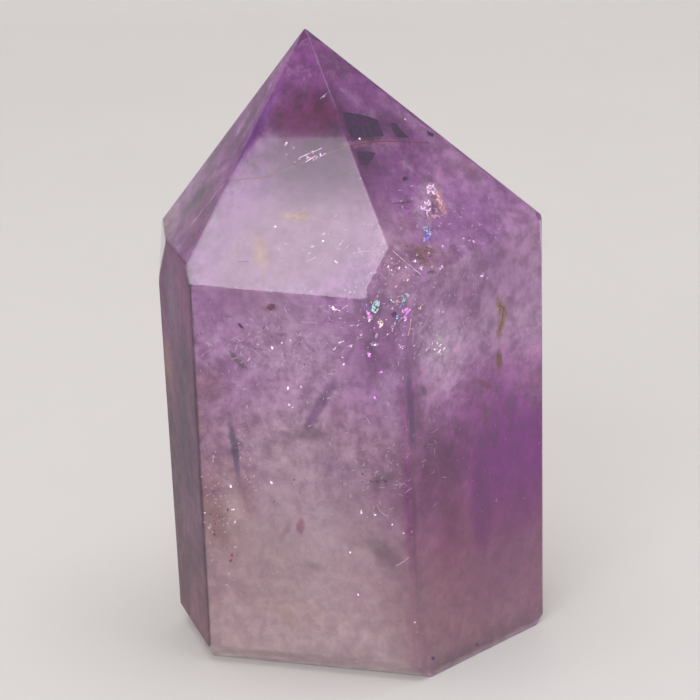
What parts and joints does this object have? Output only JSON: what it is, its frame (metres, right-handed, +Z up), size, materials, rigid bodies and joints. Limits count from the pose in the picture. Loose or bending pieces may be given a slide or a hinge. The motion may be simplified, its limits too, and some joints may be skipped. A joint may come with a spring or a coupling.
{
  "type": "amethyst point",
  "caption": "Free-standing polished quartz point: stout six-sided prism on a flat base, ending in a six-faced tip.",
  "frame": {"origin": "centre of the footprint's bounding box, on the flat underside", "axes": "+Z up along the crystal to its tip, -Y towards the broad front face, +X to the right"},
  "size_m": [0.038, 0.0316, 0.062],
  "materials": {
    "amethyst": "polished, cloudy, see-through"
  },
  "bodies": {
    "root": {"amethyst_point": "amethyst"}
  },
  "joints": []
}
